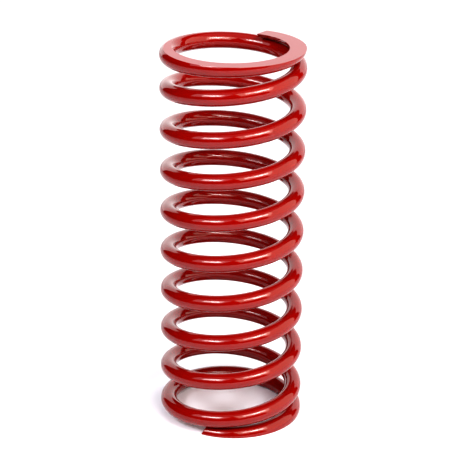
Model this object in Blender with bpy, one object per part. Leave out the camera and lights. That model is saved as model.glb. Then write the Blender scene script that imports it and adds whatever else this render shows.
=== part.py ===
"""Suspension coil spring: one round wire, wound right-handed, closed and ground flat at both ends.

Metres, +Z up. The coil's axis is Z, and the lower ground seat lies in the plane z = 0.
The wire is divided at the coil's right (+X) and left (-X) sides into an end coil at each end and
half-turn stretches between them, so that the turns can close up on each other along Z.
"""

import math

import bmesh
import bpy

# Driving dimensions
FREE_LENGTH = 0.210
BORE_DIAMETER = 0.060
WIRE_DIAMETER = 0.009
LOWER_TIP_ANGLE = math.radians(-115.5)  # seen from above, counter-clockwise from +X
UPPER_TIP_ANGLE = math.radians(63.0)
WHOLE_TURNS_BETWEEN_TIPS = 10  # and the angle from the lower tip to the upper one
LOWER_TIP_THICKNESS = 0.0039  # what the grinding leaves of the wire at its tip
UPPER_TIP_THICKNESS = 0.0027
TIP_GAP = 0.0003  # between a tip and the turn that it closes on
TIP_CURL_TURNS = 0.30  # over this much wire at each end, the tip curls in towards the axis
LOWER_TIP_CURL = 0.0019
UPPER_TIP_CURL = 0.0027
CLOSED_TURNS = 0.79  # at each end, wound at the closed pitch
RAMP_TURNS = 0.38  # then opening smoothly to the active pitch
CUT_GAP = 0.0003  # between neighbouring stretches, at the bore

# Mesh fineness
WIRE_SIDES = 12
RINGS_PER_TURN = 36

# Finish
POWDER_COAT_RED = (0.46, 0.008, 0.006, 1.0)
COAT_ROUGHNESS = 0.18

# Worked out from the driving dimensions
FULL_TURN = 2 * math.pi
HALF_TURN = math.pi
WIRE_RADIUS = WIRE_DIAMETER / 2
MEAN_RADIUS = BORE_DIAMETER / 2 + WIRE_RADIUS
TIP_TO_TIP_ANGLE = WHOLE_TURNS_BETWEEN_TIPS * FULL_TURN + UPPER_TIP_ANGLE - LOWER_TIP_ANGLE
TOTAL_TURNS = TIP_TO_TIP_ANGLE / FULL_TURN
HALF_CUT_ANGLE = CUT_GAP / BORE_DIAMETER
FIRST_CUT = FULL_TURN  # the lower end coil ends here, past one whole turn
LAST_CUT = (WHOLE_TURNS_BETWEEN_TIPS - 1) * FULL_TURN  # and the upper end coil starts here


def ramp_area(x):
    """Area under the smooth step 3x^2 - 2x^3 from 0 to x, running on at height 1 past x = 1."""
    inside = min(max(x, 0.0), 1.0)
    return inside**3 - inside**4 / 2 + max(x - 1.0, 0.0)


def pitches():
    """(active, closed) pitch. The closed one lets the tip just clear the turn above it."""
    share = RAMP_TURNS * ramp_area((1 - CLOSED_TURNS) / RAMP_TURNS)
    first_turn = WIRE_DIAMETER + TIP_GAP
    rise = FREE_LENGTH + WIRE_DIAMETER - LOWER_TIP_THICKNESS - UPPER_TIP_THICKNESS
    end_turns = 2 * CLOSED_TURNS + RAMP_TURNS
    per_end_turn = end_turns / (1 - share)
    active = (rise - first_turn * per_end_turn) / (TOTAL_TURNS - end_turns - share * per_end_turn)
    closed = (first_turn - share * active) / (1 - share)
    return active, closed


ACTIVE_PITCH, CLOSED_PITCH = pitches()


def opened(turns):
    """Turns of full opening gained this many turns in from a tip; the ramp counts in part."""
    return RAMP_TURNS * ramp_area((turns - CLOSED_TURNS) / RAMP_TURNS)


def centreline_height(angle):
    """Height of the wire's centreline at an angle counted on from turn to turn."""
    turns = (angle - LOWER_TIP_ANGLE) / FULL_TURN
    open_turns = opened(turns) + opened(TOTAL_TURNS) - opened(TOTAL_TURNS - turns) - turns
    rise = CLOSED_PITCH * turns + (ACTIVE_PITCH - CLOSED_PITCH) * open_turns
    return LOWER_TIP_THICKNESS - WIRE_RADIUS + rise


def curled_in(turns, curl):
    """How far the wire has curled in towards the axis, this many turns in from a tip."""
    return curl * max(1 - turns / TIP_CURL_TURNS, 0.0) ** 2


def centreline_radius(angle):
    """The centreline's distance from the axis at an angle counted on from turn to turn."""
    turns = (angle - LOWER_TIP_ANGLE) / FULL_TURN
    lower = curled_in(turns, LOWER_TIP_CURL)
    upper = curled_in(TOTAL_TURNS - turns, UPPER_TIP_CURL)
    return MEAN_RADIUS - lower - upper


def clear_scene():
    for item in list(bpy.data.objects):
        bpy.data.objects.remove(item, do_unlink=True)


def powder_coat(name):
    material = bpy.data.materials.new(name)
    material.use_nodes = True
    surface = material.node_tree.nodes["Principled BSDF"]
    surface.inputs["Base Color"].default_value = POWDER_COAT_RED
    surface.inputs["Roughness"].default_value = COAT_ROUGHNESS
    surface.inputs["Metallic"].default_value = 0.0
    material.diffuse_color = POWDER_COAT_RED
    return material


def add_profile(bm, angle, height):
    """The wire's round section, standing in the plane through the axis at this angle."""
    corners = []
    for side in range(WIRE_SIDES):
        around = FULL_TURN * side / WIRE_SIDES
        radius = centreline_radius(angle) + WIRE_RADIUS * math.cos(around)
        place = (
            radius * math.cos(angle),
            radius * math.sin(angle),
            height + WIRE_RADIUS * math.sin(around),
        )
        corners.append(bm.verts.new(place))
    return bm.faces.new(corners)


def sweep_wire(start, end, base):
    """A bmesh of the wire from one angle to the other, with heights measured from base."""
    bm = bmesh.new()
    first_face = add_profile(bm, start, centreline_height(start) - base)
    steps = 2 * math.ceil((end - start) / FULL_TURN * RINGS_PER_TURN / 2)
    step_angle = (end - start) / steps
    front = list(first_face.edges)
    for step in range(steps):
        here = start + step * step_angle
        outwards = centreline_radius(here + step_angle) - centreline_radius(here)
        rise = centreline_height(here + step_angle) - centreline_height(here)
        swept = bmesh.ops.spin(
            bm,
            geom=front,
            cent=(0, 0, 0),
            axis=(0, 0, 1),
            dvec=(outwards * math.cos(here), outwards * math.sin(here), rise),
            angle=step_angle,
            steps=1,
        )
        front = [item for item in swept["geom_last"] if isinstance(item, bmesh.types.BMEdge)]
    bmesh.ops.edgeloop_fill(bm, edges=front)
    bmesh.ops.recalc_face_normals(bm, faces=bm.faces)
    return bm


def grind_flat(bm, height, outward):
    """Takes off everything past a level plane, and closes the cut with one flat face."""
    everything = bm.verts[:] + bm.edges[:] + bm.faces[:]
    cut = bmesh.ops.bisect_plane(
        bm,
        geom=everything,
        dist=1e-6,
        plane_co=(0, 0, height),
        plane_no=(0, 0, outward),
        clear_outer=True,
    )
    rim = [item for item in cut["geom_cut"] if isinstance(item, bmesh.types.BMEdge)]
    bmesh.ops.triangle_fill(bm, use_beauty=True, edges=rim, normal=(0, 0, outward))
    bmesh.ops.recalc_face_normals(bm, faces=bm.faces)


def add_stretch(name, start, end, ground_at=None, outward=0):
    """One stretch of wire as an object, with its origin on the coil's axis at its lowest ring."""
    base = centreline_height(start)
    bm = sweep_wire(start, end, base)
    if ground_at is not None:
        grind_flat(bm, ground_at - base, outward)
    mesh = bpy.data.meshes.new(name)
    bm.to_mesh(mesh)
    bm.free()
    mesh.shade_smooth()
    mesh.set_sharp_from_angle(angle=math.radians(40))
    mesh.materials.append(powder_coat(name + "_coat"))
    stretch = bpy.data.objects.new(name, mesh)
    stretch.location = (0, 0, base)
    bpy.context.scene.collection.objects.link(stretch)
    return stretch


def add_end_coils():
    lower_end = FIRST_CUT - HALF_CUT_ANGLE
    upper_start = LAST_CUT + HALF_CUT_ANGLE
    upper_tip = LOWER_TIP_ANGLE + TIP_TO_TIP_ANGLE
    add_stretch("lower_end_coil", LOWER_TIP_ANGLE, lower_end, ground_at=0.0, outward=-1)
    add_stretch("upper_end_coil", upper_start, upper_tip, ground_at=FREE_LENGTH, outward=1)


def add_middle_coils():
    """From each cut on the right side the wire runs round the back, then round the front."""
    for half in range(round((LAST_CUT - FIRST_CUT) / HALF_TURN)):
        side = ("back", "front")[half % 2]
        start = FIRST_CUT + half * HALF_TURN + HALF_CUT_ANGLE
        end = FIRST_CUT + (half + 1) * HALF_TURN - HALF_CUT_ANGLE
        add_stretch(f"coil_{half // 2 + 1}_{side}", start, end)


clear_scene()
add_end_coils()
add_middle_coils()
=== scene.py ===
# %% [markdown]
# # A red coil spring
#
# The real part is one length of round spring steel. It is wound on a mandrel, closed at both ends, ground
# flat so that it stands straight, and then powder coated in gloss red.
#
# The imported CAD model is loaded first. It holds the exact place of every stretch of the wire, but its wire
# has only twelve sides. Smooth shading could hide the facets inside the outline, but not along it. So each
# stretch is modelled again here, finer, in the same place.

# %% Load the frame
import math

import bpy
from mathutils import Matrix, Vector


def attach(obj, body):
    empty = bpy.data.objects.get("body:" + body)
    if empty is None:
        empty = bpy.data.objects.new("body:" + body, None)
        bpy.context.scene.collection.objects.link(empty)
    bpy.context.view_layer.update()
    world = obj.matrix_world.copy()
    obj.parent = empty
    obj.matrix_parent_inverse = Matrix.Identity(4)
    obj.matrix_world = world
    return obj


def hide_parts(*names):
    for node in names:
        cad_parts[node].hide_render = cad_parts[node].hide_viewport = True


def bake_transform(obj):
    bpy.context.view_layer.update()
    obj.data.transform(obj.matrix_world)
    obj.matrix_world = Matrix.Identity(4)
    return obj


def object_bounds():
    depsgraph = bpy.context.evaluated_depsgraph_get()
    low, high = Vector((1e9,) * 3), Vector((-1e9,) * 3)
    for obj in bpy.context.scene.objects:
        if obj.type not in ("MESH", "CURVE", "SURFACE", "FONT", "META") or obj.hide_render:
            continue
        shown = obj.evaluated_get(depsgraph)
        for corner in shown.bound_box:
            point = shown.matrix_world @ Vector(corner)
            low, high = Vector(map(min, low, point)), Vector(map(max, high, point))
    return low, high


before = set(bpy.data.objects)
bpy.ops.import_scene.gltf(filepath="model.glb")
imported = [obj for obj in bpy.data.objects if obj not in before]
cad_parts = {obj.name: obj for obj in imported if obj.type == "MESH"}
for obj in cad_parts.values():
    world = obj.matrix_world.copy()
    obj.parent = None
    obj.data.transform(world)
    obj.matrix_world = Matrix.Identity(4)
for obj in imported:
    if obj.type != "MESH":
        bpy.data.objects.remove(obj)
cad_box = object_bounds()
lowest, highest = (Vector(corner) for corner in cad_box)
MM = 1000  # in a metre, for what is printed
print("The CAD model measures", [round(side * MM, 1) for side in highest - lowest], "mm")

# %% [markdown]
# ## The winding
#
# A coil spring is described by a few numbers: the wire, the bore, the free length, and how many turns are
# closed up at each end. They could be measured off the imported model, but it is faceted, so the part's own
# driving dimensions are repeated here instead, in metres. Angles count on from turn to turn, starting at
# the right-hand side (+X) and going counter-clockwise as seen from above.

# %% Measures of the spring
FULL_TURN = 2 * math.pi
QUARTER_TURN = math.pi / 2
QUARTERS_PER_TURN = 4
FREE_LENGTH = 0.210
WIRE_RADIUS = 0.0045
BORE_RADIUS = 0.030
MEAN_RADIUS = BORE_RADIUS + WIRE_RADIUS
WHOLE_TURNS = 10
LOWER_TIP = math.radians(-115.5)
UPPER_TIP = math.radians(63.0) + WHOLE_TURNS * FULL_TURN
LOWER_TIP_THICKNESS = 0.0039
UPPER_TIP_THICKNESS = 0.0027
TIP_GAP = 0.0003
TIP_CURL_TURNS = 0.30
LOWER_TIP_CURL = 0.0019
UPPER_TIP_CURL = 0.0027
CLOSED_TURNS = 0.79
RAMP_TURNS = 0.38
TOTAL_TURNS = (UPPER_TIP - LOWER_TIP) / FULL_TURN
FIRST_CUT = FULL_TURN  # the lower end coil ends here
LAST_CUT = (WHOLE_TURNS - 1) * FULL_TURN  # and the upper one starts here
print("Turns from tip to tip:", round(TOTAL_TURNS, 2))
print("Free length against the CAD:", round((FREE_LENGTH - (highest - lowest).z) * MM, 3), "mm apart")

# %% [markdown]
# The closed turns have a small pitch and the others a large one. A sudden change between the two would
# leave a kink in the wire. So the pitch opens smoothly, as the winding machine's feed does, along a curve
# with no corner in it. The height of the wire's middle line is the sum of the pitch so far.


# %% Height of the wire's middle line
def ramp_area(x):
    """Area under the smooth step 3x^2 - 2x^3 from 0 to x, running on at height 1 past x = 1."""
    inside = min(max(x, 0.0), 1.0)
    return inside**3 - inside**4 / 2 + max(x - 1.0, 0.0)


def pitches():
    """(active, closed) pitch. The closed one lets the tip just clear the turn above it."""
    share = RAMP_TURNS * ramp_area((1 - CLOSED_TURNS) / RAMP_TURNS)
    first_turn = 2 * WIRE_RADIUS + TIP_GAP
    rise = FREE_LENGTH + 2 * WIRE_RADIUS - LOWER_TIP_THICKNESS - UPPER_TIP_THICKNESS
    end_turns = 2 * CLOSED_TURNS + RAMP_TURNS
    per_end_turn = end_turns / (1 - share)
    active = (rise - first_turn * per_end_turn) / (TOTAL_TURNS - end_turns - share * per_end_turn)
    closed = (first_turn - share * active) / (1 - share)
    return active, closed


ACTIVE_PITCH, CLOSED_PITCH = pitches()


def opened(turns):
    """Turns of full opening gained this many turns in from a tip; the ramp counts in part."""
    return RAMP_TURNS * ramp_area((turns - CLOSED_TURNS) / RAMP_TURNS)


def wire_height(angle):
    """Height of the wire's middle line at an angle."""
    turns = (angle - LOWER_TIP) / FULL_TURN
    open_turns = opened(turns) + opened(TOTAL_TURNS) - opened(TOTAL_TURNS - turns) - turns
    rise = CLOSED_PITCH * turns + (ACTIVE_PITCH - CLOSED_PITCH) * open_turns
    return LOWER_TIP_THICKNESS - WIRE_RADIUS + rise


print("Pitch of the open turns:", round(ACTIVE_PITCH * MM, 2), "mm")
print("Pitch of the closed turns:", round(CLOSED_PITCH * MM, 2), "mm")

# %% [markdown]
# When the wire is sheared off, each tip bends in towards the axis by two or three millimetres over the last
# third of a turn. A square law gives a bend that starts gently and is strongest at the tip.


# %% The curl of the tips
def curled_in(turns, curl):
    """How far the wire has curled in towards the axis, this many turns in from a tip."""
    return curl * max(1 - turns / TIP_CURL_TURNS, 0.0) ** 2


def wire_curl(angle):
    """How much nearer to the axis the wire's middle line is at an angle than on the open turns."""
    turns = (angle - LOWER_TIP) / FULL_TURN
    return curled_in(turns, LOWER_TIP_CURL) + curled_in(TOTAL_TURNS - turns, UPPER_TIP_CURL)


print("Curl at the tips:", [round(wire_curl(tip) * MM, 2) for tip in (LOWER_TIP, UPPER_TIP)], "mm")

# %% [markdown]
# ## Tools for modelling
#
# Operators act on whatever is selected, so each piece is selected on its own first. A curve with a round
# bevel would also make wire, but its rings turn by rules of their own. So the wire starts as a circle that
# stands upright beside the axis, with its origin moved onto the axis, and a Screw modifier winds it round.
# That puts every ring exactly in a plane through the axis, where the neighbouring stretch has its ring too.

# %% Selecting a piece, and winding the wire
WIRE_SIDES = 48
STEPS_PER_QUARTER = 96
SHARP_ANGLE = math.radians(40)  # an edge that turns more than this stays crisp


def select_only(piece):
    """Selects this piece alone and makes it the active one."""
    bpy.ops.object.select_all(action="DESELECT")
    piece.select_set(True)
    bpy.context.view_layer.objects.active = piece


def add_wire_section(name):
    """A circle as thick as the wire, upright on the right of the axis, with its origin on the axis."""
    bpy.ops.object.select_all(action="DESELECT")
    bpy.ops.mesh.primitive_circle_add(
        vertices=WIRE_SIDES,
        radius=WIRE_RADIUS,
        fill_type="NOTHING",
        location=(MEAN_RADIUS, 0, 0),
        rotation=(QUARTER_TURN, 0, 0),
    )
    section = bpy.context.object
    section.name = name
    section.data.name = name
    bpy.ops.object.transform_apply(location=True, rotation=True, scale=True)
    return section


def wind(section, angle, rise, steps):
    """Sweeps the section round the axis by the angle, rising as it goes, and keeps the result."""
    select_only(section)
    bpy.ops.object.modifier_add(type="SCREW")
    winding = section.modifiers[-1]
    winding.angle = angle
    winding.screw_offset = rise
    winding.steps = steps
    winding.render_steps = steps
    winding.use_merge_vertices = False
    bpy.ops.object.modifier_apply(modifier=winding.name)


def close_ends(piece):
    """Fills the open ends of the wire and turns every face outwards."""
    select_only(piece)
    bpy.ops.object.mode_set(mode="EDIT")
    bpy.ops.mesh.select_all(action="SELECT")
    bpy.ops.mesh.fill_holes(sides=0)
    bpy.ops.mesh.select_all(action="SELECT")
    bpy.ops.mesh.normals_make_consistent(inside=False)
    bpy.ops.object.mode_set(mode="OBJECT")


side_width = FULL_TURN * WIRE_RADIUS / WIRE_SIDES
print("The wire has", WIRE_SIDES, "sides, each", round(side_width * MM, 2), "mm wide")

# %% [markdown]
# ## The open turns
#
# Between the two end coils the wire climbs at one constant pitch, so every quarter turn is the same shape.
# It could all be one long piece, but then it couldn't close up turn by turn when the spring is pressed. So
# one quarter is wound, and 32 copies of it are turned and lifted into place.

# %% One quarter turn of wire
quarter_master = add_wire_section("quarter_turn")
wind(quarter_master, QUARTER_TURN, ACTIVE_PITCH / QUARTERS_PER_TURN, STEPS_PER_QUARTER)
rings = len(quarter_master.data.vertices) // WIRE_SIDES
last_ring = Vector()
for vertex in quarter_master.data.vertices[-WIRE_SIDES:]:
    last_ring += vertex.co / WIRE_SIDES
print("Rings in a quarter turn:", rings)
print("The last ring's middle is at", [round(place * MM, 2) for place in last_ring], "mm")
close_ends(quarter_master)
bpy.ops.object.shade_smooth_by_angle(angle=SHARP_ANGLE)

# %% Copies of it all the way up
QUARTERS = round((LAST_CUT - FIRST_CUT) / QUARTER_TURN)
SIDES_IN_ORDER = ("back_right", "back_left", "front_left", "front_right")


def copy_of(master, name):
    """A copy with its own mesh, left selected."""
    select_only(master)
    bpy.ops.object.duplicate(linked=False)
    copy = bpy.context.object
    copy.name = name
    copy.data.name = name
    return copy


open_turns = []
for quarter in range(QUARTERS):
    turn = quarter // QUARTERS_PER_TURN + 1
    side = SIDES_IN_ORDER[quarter % QUARTERS_PER_TURN]
    stretch = copy_of(quarter_master, f"coil_{turn}_{side}")
    stretch.rotation_euler.z = quarter * QUARTER_TURN
    stretch.location.z = wire_height(FIRST_CUT + quarter * QUARTER_TURN)
    bpy.ops.object.transform_apply(location=True, rotation=True, scale=True)
    open_turns.append(stretch)
bpy.data.objects.remove(quarter_master, do_unlink=True)
print("Quarter turns placed:", len(open_turns))

# %% [markdown]
# ## The end coils
#
# At each end the wire lies down until its tip rests against the next turn. The Screw modifier can wind only
# one constant pitch, and here it changes. So these coils are wound flat first, and then each ring is lifted
# to its own height, and drawn in where the tip curls.

# %% Winding an end coil
RINGS_PER_TURN = QUARTERS_PER_TURN * STEPS_PER_QUARTER


def outwards_at(angle):
    """Level direction that points away from the axis at an angle."""
    return Vector((math.cos(angle), math.sin(angle), 0))


def add_end_coil(name, start, end):
    """The wire from one angle to another, following the changing pitch."""
    coil = add_wire_section(name)
    steps = round((end - start) / FULL_TURN * RINGS_PER_TURN)
    wind(coil, end - start, 0.0, steps)
    for vertex in coil.data.vertices:
        wound = (end - start) * (vertex.index // WIRE_SIDES) / steps
        curl = wire_curl(start + wound)
        vertex.co -= outwards_at(wound) * curl
        vertex.co.z += wire_height(start + wound)
    coil.rotation_euler.z = start
    bpy.ops.object.transform_apply(location=True, rotation=True, scale=True)
    close_ends(coil)
    return coil


lower_coil = add_end_coil("lower_end_wire", LOWER_TIP, FIRST_CUT)
upper_coil = add_end_coil("upper_end_wire", LAST_CUT, UPPER_TIP)
for coil in (lower_coil, upper_coil):
    print(coil.name, "is wound with", len(coil.data.vertices) // WIRE_SIDES, "rings")

# %% [markdown]
# The shears leave each tip's end face a little aslant. A Boolean with a tilted block would cut it, but a
# bisect of the last few rings does the same with nothing left over: it cuts along a plane, throws the far
# side away, and fills the opening. The vertices come ring after ring, so their order tells which to select.

# %% Shearing the tips
SHORN_RINGS = 14
LOWER_SLANT = math.radians(25)
UPPER_SLANT = math.radians(12)
CUT_TOLERANCE = 1e-6
UPRIGHT = 0.99  # the normal of a level face stands at least this upright


def shear(coil, rings, corner, facing):
    """Cuts these rings along a plane through the corner, and closes the wire there."""
    select_only(coil)
    bpy.ops.object.mode_set(mode="EDIT")
    bpy.ops.mesh.select_all(action="DESELECT")
    bpy.ops.object.mode_set(mode="OBJECT")
    for vertex in coil.data.vertices:
        vertex.select = vertex.index // WIRE_SIDES in rings
    bpy.ops.object.mode_set(mode="EDIT")
    bpy.ops.mesh.select_mode(type="VERT")
    bpy.ops.mesh.bisect(
        plane_co=corner,
        plane_no=facing,
        use_fill=True,
        clear_outer=True,
        threshold=CUT_TOLERANCE,
    )
    bpy.ops.object.mode_set(mode="OBJECT")


lower_out = outwards_at(LOWER_TIP)
lower_facing = outwards_at(LOWER_TIP - QUARTER_TURN) * math.cos(LOWER_SLANT)
lower_facing.z = math.sin(LOWER_SLANT)
lower_corner = lower_out * (MEAN_RADIUS - LOWER_TIP_CURL)
shear(lower_coil, range(SHORN_RINGS), lower_corner, lower_facing)

upper_out = outwards_at(UPPER_TIP)
upper_facing = outwards_at(UPPER_TIP + QUARTER_TURN) * math.cos(UPPER_SLANT)
upper_facing += upper_out * math.sin(UPPER_SLANT)
upper_corner = upper_out * (BORE_RADIUS - UPPER_TIP_CURL)
upper_rings = len(upper_coil.data.vertices) // WIRE_SIDES
shear(upper_coil, range(upper_rings - SHORN_RINGS, upper_rings), upper_corner, upper_facing)
print("Slant of the tips:", [round(math.degrees(slant)) for slant in (LOWER_SLANT, UPPER_SLANT)], "degrees")

# %% [markdown]
# Then a grinding wheel takes off whatever stands past a level plane, so that the spring stands straight.
# This is a bisect too, of the whole coil. The new face is flat and its rim is crisp, so the face is shaded
# flat and the rim is marked sharp. Otherwise the round wire's shading would bleed across it.


# %% Grinding the ends
def grind(coil, height, outward):
    """Cuts the coil at a level plane, fills the cut, and keeps its rim sharp."""
    select_only(coil)
    bpy.ops.object.shade_smooth_by_angle(angle=SHARP_ANGLE)
    bpy.ops.object.mode_set(mode="EDIT")
    bpy.ops.mesh.select_all(action="SELECT")
    bpy.ops.mesh.bisect(
        plane_co=(0, 0, height),
        plane_no=(0, 0, outward),
        use_fill=True,
        clear_outer=True,
        threshold=CUT_TOLERANCE,
    )
    bpy.ops.object.mode_set(mode="OBJECT")
    for face in coil.data.polygons:
        in_plane = abs(face.center.z - height) < CUT_TOLERANCE
        face.select = in_plane and face.normal.z * outward > UPRIGHT
    bpy.ops.object.mode_set(mode="EDIT")
    bpy.ops.mesh.select_mode(type="FACE")
    bpy.ops.mesh.faces_shade_flat()
    bpy.ops.mesh.region_to_loop()
    bpy.ops.mesh.mark_sharp()
    bpy.ops.object.mode_set(mode="OBJECT")


grind(lower_coil, 0.0, -1)
grind(upper_coil, FREE_LENGTH, 1)
for coil in (lower_coil, upper_coil):
    print(coil.name, "has", len(coil.data.polygons), "faces")

# %% [markdown]
# ## Joining the pieces to the frame
# ## Setting the pieces in place of the CAD stretches
# The end coils move whole, and each is tied to its own body. A quarter turn between them sinks a little more
# at its upper end than at its lower one when the spring is pressed. If each rode on its own body, steps
# would open between them. For each quarter the two blend points are worked out so that the share at each
# cut is the same for both of its neighbours, and the CAD stretch that each piece replaces is hidden.

# %% Share of the travel at each cut
def blend_place(share):
    """Where along a smooth step this share is reached."""
    return 0.5 - math.sin(math.asin(1 - 2 * share) / 3)


def cut_share(quarter):
    """Share of the upper end's travel at the cut below this quarter turn."""
    return quarter / QUARTERS


for quarter, stretch in enumerate(open_turns):
    near = blend_place(cut_share(quarter))
    far = blend_place(cut_share(quarter + 1))
    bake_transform(stretch)
    node_side = SIDES_IN_ORDER[quarter % QUARTERS_PER_TURN].split("_")[0]
    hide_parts(f"coil_{quarter // 4 + 1}_{node_side}")

for coil, body, node in (
    (lower_coil, "lower_end", "lower_end_coil"),
    (upper_coil, "upper_end", "upper_end_coil"),
):
    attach(coil, body)
    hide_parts(node)
print("Pieces joined:", len(open_turns) + 2)

# %% [markdown]
# ## Writing shader maths
#
# A material is a net of small nodes. They could be added and linked one at a time, but that hides what is
# being worked out. `Signal` wraps one output, so that sums on it can be written as plain Python and the
# Math nodes add themselves. `Finish.node` adds any other node, for a material or for the room.


# %% Signals and finishes
class Signal:
    """One output of a node, which ordinary arithmetic can be done on."""

    def __init__(self, finish, socket):
        self.finish = finish
        self.socket = socket

    def maths(self, operation, first, second):
        made = self.finish.node("ShaderNodeMath", {"operation": operation}, {0: first, 1: second})
        return Signal(self.finish, made.outputs[0])

    def __add__(self, other):
        return self.maths("ADD", self, other)

    def __sub__(self, other):
        return self.maths("SUBTRACT", self, other)

    def __rsub__(self, other):
        return self.maths("SUBTRACT", other, self)

    def __mul__(self, other):
        return self.maths("MULTIPLY", self, other)

    def __gt__(self, other):
        return self.maths("GREATER_THAN", self, other)

    def __lt__(self, other):
        return self.maths("LESS_THAN", self, other)

    __radd__ = __add__
    __rmul__ = __mul__


class Finish:
    """The nodes of one material, or of the room, and the one way in which more are added."""

    def __init__(self, owner):
        owner.use_nodes = True
        self.owner = owner
        self.nodes = owner.node_tree.nodes
        self.links = owner.node_tree.links

    def feed(self, node, sockets):
        """Sets each socket of a node to a value, or links it to a signal."""
        for key, value in sockets.items():
            if isinstance(value, Signal):
                self.links.new(value.socket, node.inputs[key])
            else:
                node.inputs[key].default_value = value

    def node(self, kind, settings, sockets):
        """Adds a node: its settings first, then the values and links of its sockets."""
        made = self.nodes.new(kind)
        for key, value in settings.items():
            setattr(made, key, value)
        self.feed(made, sockets)
        return made

    def noise(self, place, size, detail=2.0):
        """Soft random values, about 0 to 1, whose lumps are this many metres across."""
        made = self.node(
            "ShaderNodeTexNoise", {}, {"Vector": place, "Scale": 1 / size, "Detail": detail}
        )
        return Signal(self, made.outputs["Fac"])

    def colours(self, share, first, second):
        """One colour turning into another as the share goes from 0 to 1."""
        made = self.node(
            "ShaderNodeMix", {"data_type": "RGBA"}, {"Factor": share, 6: first, 7: second}
        )
        return Signal(self, made.outputs[2])


def new_finish(name):
    """An empty material, and its surface shader."""
    finish = Finish(bpy.data.materials.new(name))
    return finish, finish.nodes["Principled BSDF"]


# %% [markdown]
# ## Powder coat
#
# Dry paint powder is sprayed on and baked until it flows. It levels almost flat but keeps a slight waviness
# called orange peel, which is what makes the edges of a reflection wander. The coat is a little darker
# where it is thick. On the ground seats it is thin, and fine grinding marks show through it. Their red is
# lighter and pinker: partly the thin coat over ground steel, partly a painted sheen.
#
# The waviness could be modelled, but it is only hundredths of a millimetre high, so it is a bump from
# noise. The seats are told from the round wire by their height alone, so one coat serves every piece.

# %% The red coat
RED = (0.214, 0.0021, 0.0003, 1.0)
DEEP_RED = (0.176, 0.0014, 0.0002, 1.0)
# Lighter and pinker than RED: partly the thin coat over ground steel, partly a painted sheen.
SEAT_RED_AND_SHEEN = (0.25, 0.009, 0.012, 1.0)
PEEL_SIZE = 0.0030
PEEL_HEIGHT = 0.000017
FINE_PEEL = 0.12  # share of it that is four times as fine
THICKNESS_SIZE = 0.012
MARK_SIZE = 0.0005
MARK_STRETCH = (1.0, 0.06, 1.0)  # the grinding marks run along Y
MARK_HEIGHT = 0.000006
SEAT_DEPTH = 0.00004
# How far the seats take that lighter, pinker red, which is partly painted sheen.
SEAT_TINT_AND_SHEEN = 0.6  # share of SEAT_RED_AND_SHEEN in the colour of the seats
PEEL_LOSS = 0.7  # share of the waviness that the thin coat on the seats hasn't got
GLOSS_ROUGHNESS = 0.04
THICK_ROUGHNESS = 0.03
GROUND_ROUGHNESS = 0.25


def powder_coat():
    """Gloss red powder coat, with the ground seats told apart by their height."""
    coat, surface = new_finish("red_powder_coat")
    place = Signal(coat, coat.node("ShaderNodeTexCoord", {}, {}).outputs["Object"])
    parts = coat.node("ShaderNodeSeparateXYZ", {}, {0: place})
    height = Signal(coat, parts.outputs["Z"])
    seat = (height > FREE_LENGTH - SEAT_DEPTH) + (height < SEAT_DEPTH)

    thick = coat.noise(place, THICKNESS_SIZE)
    colour = coat.colours(thick, RED, DEEP_RED)
    # The seats are painted lighter and pinker: partly the thin coat, partly a painted sheen.
    colour = coat.colours(seat * SEAT_TINT_AND_SHEEN, colour, SEAT_RED_AND_SHEEN)

    stretched = coat.node("ShaderNodeMapping", {}, {"Vector": place, "Scale": MARK_STRETCH})
    marks = coat.noise(Signal(coat, stretched.outputs[0]), MARK_SIZE, 3.0)
    peel = coat.noise(place, PEEL_SIZE) + coat.noise(place, PEEL_SIZE / 4) * FINE_PEEL
    relief = peel * PEEL_HEIGHT * (1 - seat * PEEL_LOSS) + marks * seat * MARK_HEIGHT
    bump = coat.node("ShaderNodeBump", {}, {"Height": relief, "Distance": 1.0, "Strength": 1.0})

    coat.feed(
        surface,
        {
            "Base Color": colour,
            "Roughness": GLOSS_ROUGHNESS + thick * THICK_ROUGHNESS + seat * GROUND_ROUGHNESS,
            "Coat Weight": seat * 0.3,
            "Coat Roughness": 0.25,
            "IOR": 1.5,
            "Normal": Signal(coat, bump.outputs[0]),
        },
    )
    coat.owner.diffuse_color = RED
    return coat.owner


red_coat = powder_coat()
for piece in [*open_turns, lower_coil, upper_coil]:
    piece.data.materials.clear()
    piece.data.materials.append(red_coat)
print("Nodes in the coat:", len(red_coat.node_tree.nodes))

# %% [markdown]
# ## Studio
#
# The spring stands on a white floor, in front of a white screen that is lit from behind. One curved sweep
# of paper could be both, but the two need different brightness: the floor has to take shadows, and the
# screen is only there to be mirrored in the coat. Both are planes, and neither is part of the object.

# %% Floor and screen
WHITE_FLOOR = (0.80, 0.80, 0.86, 1.0)
FLOOR_SIZE = 12


def add_floor():
    """A plain white floor that reaches past the camera's view."""
    bpy.ops.object.select_all(action="DESELECT")
    bpy.ops.mesh.primitive_plane_add(size=FLOOR_SIZE, location=(0, 0, 0))
    floor = bpy.context.object
    floor.name = "floor"
    paint, surface = new_finish("white_floor")
    paint.feed(surface, {"Base Color": WHITE_FLOOR, "Roughness": 0.6})
    floor.data.materials.append(paint.owner)


def add_screen(sideways, distance, width, height, brightness):
    """An upright white screen behind the spring, glowing evenly."""
    bpy.ops.object.select_all(action="DESELECT")
    bpy.ops.mesh.primitive_plane_add(size=1, location=(sideways, distance, height / 2))
    screen = bpy.context.object
    screen.name = "screen"
    screen.scale = (width, height, 1)
    screen.rotation_euler.x = QUARTER_TURN
    bpy.ops.object.transform_apply(location=True, rotation=True, scale=True)
    paint, surface = new_finish("lit_screen")
    paint.feed(
        surface,
        {"Base Color": (0, 0, 0, 1), "Emission Color": (1, 1, 1, 1), "Emission Strength": brightness},
    )
    screen.data.materials.append(paint.owner)


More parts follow.
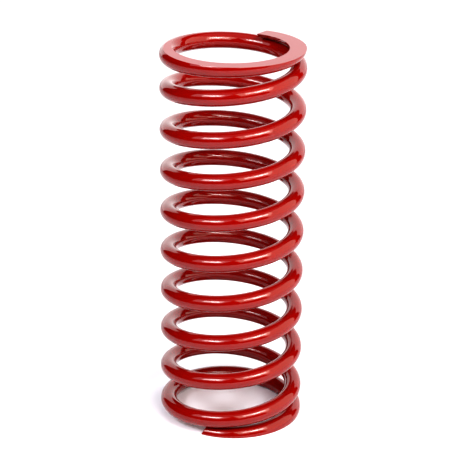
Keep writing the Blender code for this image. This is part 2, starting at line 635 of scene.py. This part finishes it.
add_floor()
add_screen(sideways=0.35, distance=2.2, width=4.3, height=1.8, brightness=1.25)
print("The floor is", FLOOR_SIZE, "m across, and the screen stands behind the spring")

# %% [markdown]
# A glossy wire shows every lamp as a streak along it, so the lights are shaped for their reflections. Two
# soft boxes stand high at the front left and front right, with a dark gap between them. Each is three area
# lights, one in front of the other: a wide dim sheet, a brighter bulb and a small core, so that a streak
# fades towards its ends. A gradient on one light could do that too, but plain lights are easier to tune.
# A panel at the far right lights the wire's right edge, and a dim ceiling fills in from above.

# %% Lights
LIGHT_TARGET = Vector((0, 0, 0.11))
WATTS_FOR_BRIGHTNESS = 4  # per square metre, to look as bright as a surface that emits 1


def direction(azimuth, elevation):
    """Unit vector towards a light. Azimuth 0 is the front and grows to the right, both in degrees."""
    turn = math.radians(azimuth)
    rise = math.radians(elevation)
    return Vector(
        (math.sin(turn) * math.cos(rise), -math.cos(turn) * math.cos(rise), math.sin(rise))
    )


def add_light(name, azimuth, elevation, across, high, distance, brightness, tint):
    """A soft box that fills these angles, in degrees, and looks this bright against the white screen."""
    width = 2 * distance * math.tan(math.radians(across / 2))
    height = 2 * distance * math.tan(math.radians(high / 2))
    towards = direction(azimuth, elevation)
    bpy.ops.object.light_add(type="AREA", location=LIGHT_TARGET + towards * distance)
    light = bpy.context.object
    light.name = name
    light.rotation_euler = towards.to_track_quat("Z", "Y").to_euler()
    light.data.shape = "RECTANGLE"
    light.data.size = width
    light.data.size_y = height
    light.data.energy = WATTS_FOR_BRIGHTNESS * brightness * width * height
    light.data.color = tint
    light.visible_camera = False


NEUTRAL = (1.0, 1.0, 1.0)
WARM = (1.0, 0.88, 0.76)
COOL = (0.94, 0.94, 1.0)
# Name, azimuth, elevation, width and height in degrees, distance, brightness, tint
SOFT_BOXES = (
    ("left_box", -47, 42, 50, 32, 1.6, 1.3, COOL),
    ("left_bulb", -43, 42, 28, 15, 1.5, 7.0, NEUTRAL),
    ("left_core", -39, 42, 13, 7, 1.45, 10.0, NEUTRAL),
    ("right_box", 34, 41, 48, 38, 1.6, 2.5, WARM),
    ("right_bulb", 31, 43, 24, 13, 1.5, 6.5, NEUTRAL),
    ("right_core", 45, 41, 20, 12, 1.45, 9.0, NEUTRAL),
    ("right_panel", 84, 27, 62, 60, 1.8, 1.35, WARM),
    ("ceiling", 0, 88, 60, 60, 1.9, 0.35, NEUTRAL),
)
for soft_box in SOFT_BOXES:
    add_light(*soft_box)
print("Lights:", len(SOFT_BOXES))

# %% [markdown]
# The rest of the room is dark, which gives the red its depth: wherever the coat mirrors no light, it
# mirrors this near black. The camera would see that darkness past the floor's edge, so a Light Path node
# gives it a pale room instead.

# %% The room
DARK_ROOM = (0.03, 0.026, 0.028, 1.0)
PALE_ROOM = (0.93, 0.93, 0.94, 1.0)


def add_room():
    """A dark room for the reflections, and a pale one wherever the camera looks past the floor."""
    room = Finish(bpy.data.worlds.new("room"))
    path = room.node("ShaderNodeLightPath", {}, {})
    seen = Signal(room, path.outputs["Is Camera Ray"])
    room.feed(room.nodes["Background"], {"Color": room.colours(seen, DARK_ROOM, PALE_ROOM)})
    bpy.context.scene.world = room.owner
    return room


room = add_room()
print("Nodes in the room:", len(room.nodes))

# %% [markdown]
# ## Camera
#
# A long lens stands back from the spring and a little above it, and looks down on it. A short one close up
# would look down on the lowest turns more steeply than on the highest. It leans by less than half a degree.
# The Standard view keeps the red as strong as it is painted, and the High Contrast look deepens the
# shadows.

# %% Camera
CAMERA_AIM = Vector((-0.00157, 0, 0.10745))
CAMERA_ELEVATION = 21.40
CAMERA_DISTANCE = 1.0669
CAMERA_LEAN = math.radians(0.406)
LENS = 154.75
SENSOR = 36

towards_camera = direction(0, CAMERA_ELEVATION)
bpy.ops.object.camera_add(location=CAMERA_AIM + towards_camera * CAMERA_DISTANCE)
camera = bpy.context.object
camera.name = "camera"
upright = towards_camera.to_track_quat("Z", "Y").to_matrix()
camera.rotation_euler = (upright @ Matrix.Rotation(CAMERA_LEAN, 3, "Z")).to_euler()
camera.data.sensor_width = SENSOR
camera.data.lens = LENS
bpy.context.scene.camera = camera
bpy.context.scene.view_settings.view_transform = "Standard"
bpy.context.scene.view_settings.look = "High Contrast"
print("Camera stands at", [round(place, 3) for place in camera.location])

# %% [markdown]
# ## The end
#
# Last, the scene is brought up to date. The finer wire must be no bigger than the CAD model's.

# %% The end
bpy.context.view_layer.update()
